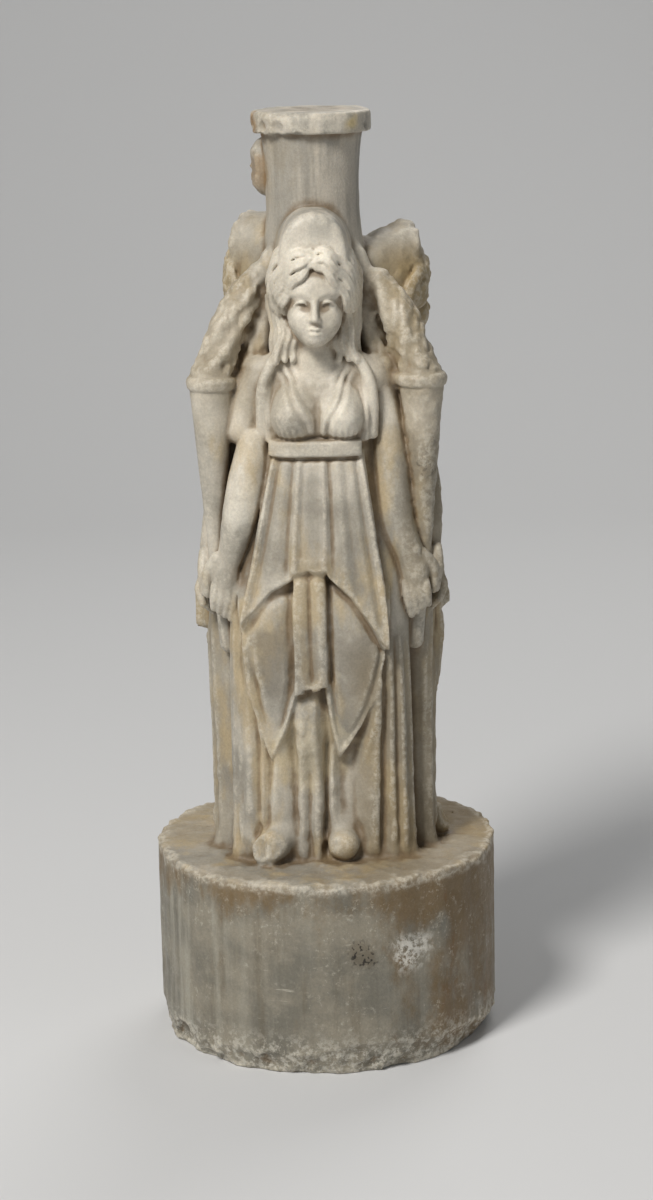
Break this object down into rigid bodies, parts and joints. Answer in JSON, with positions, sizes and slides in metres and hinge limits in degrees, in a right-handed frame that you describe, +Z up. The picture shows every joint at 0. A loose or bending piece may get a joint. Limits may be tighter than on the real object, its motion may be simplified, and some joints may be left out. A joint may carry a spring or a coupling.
{
  "type": "hekataion",
  "caption": "Small carved marble votive: draped women stand back to back round a rimmed column with shared torches, all on a round drum base.",
  "frame": {"origin": "middle of the drum's underside, on the surface the block stands on", "axes": "+Z up along the column; the front figure looks along -Y; +X is to the viewer's right"},
  "size_m": [0.167, 0.167, 0.448],
  "materials": {
    "marble": "weathered white marble with a warm patina, dull to softly shining"
  },
  "bodies": {
    "root": {"hekataion": "marble"}
  },
  "joints": []
}
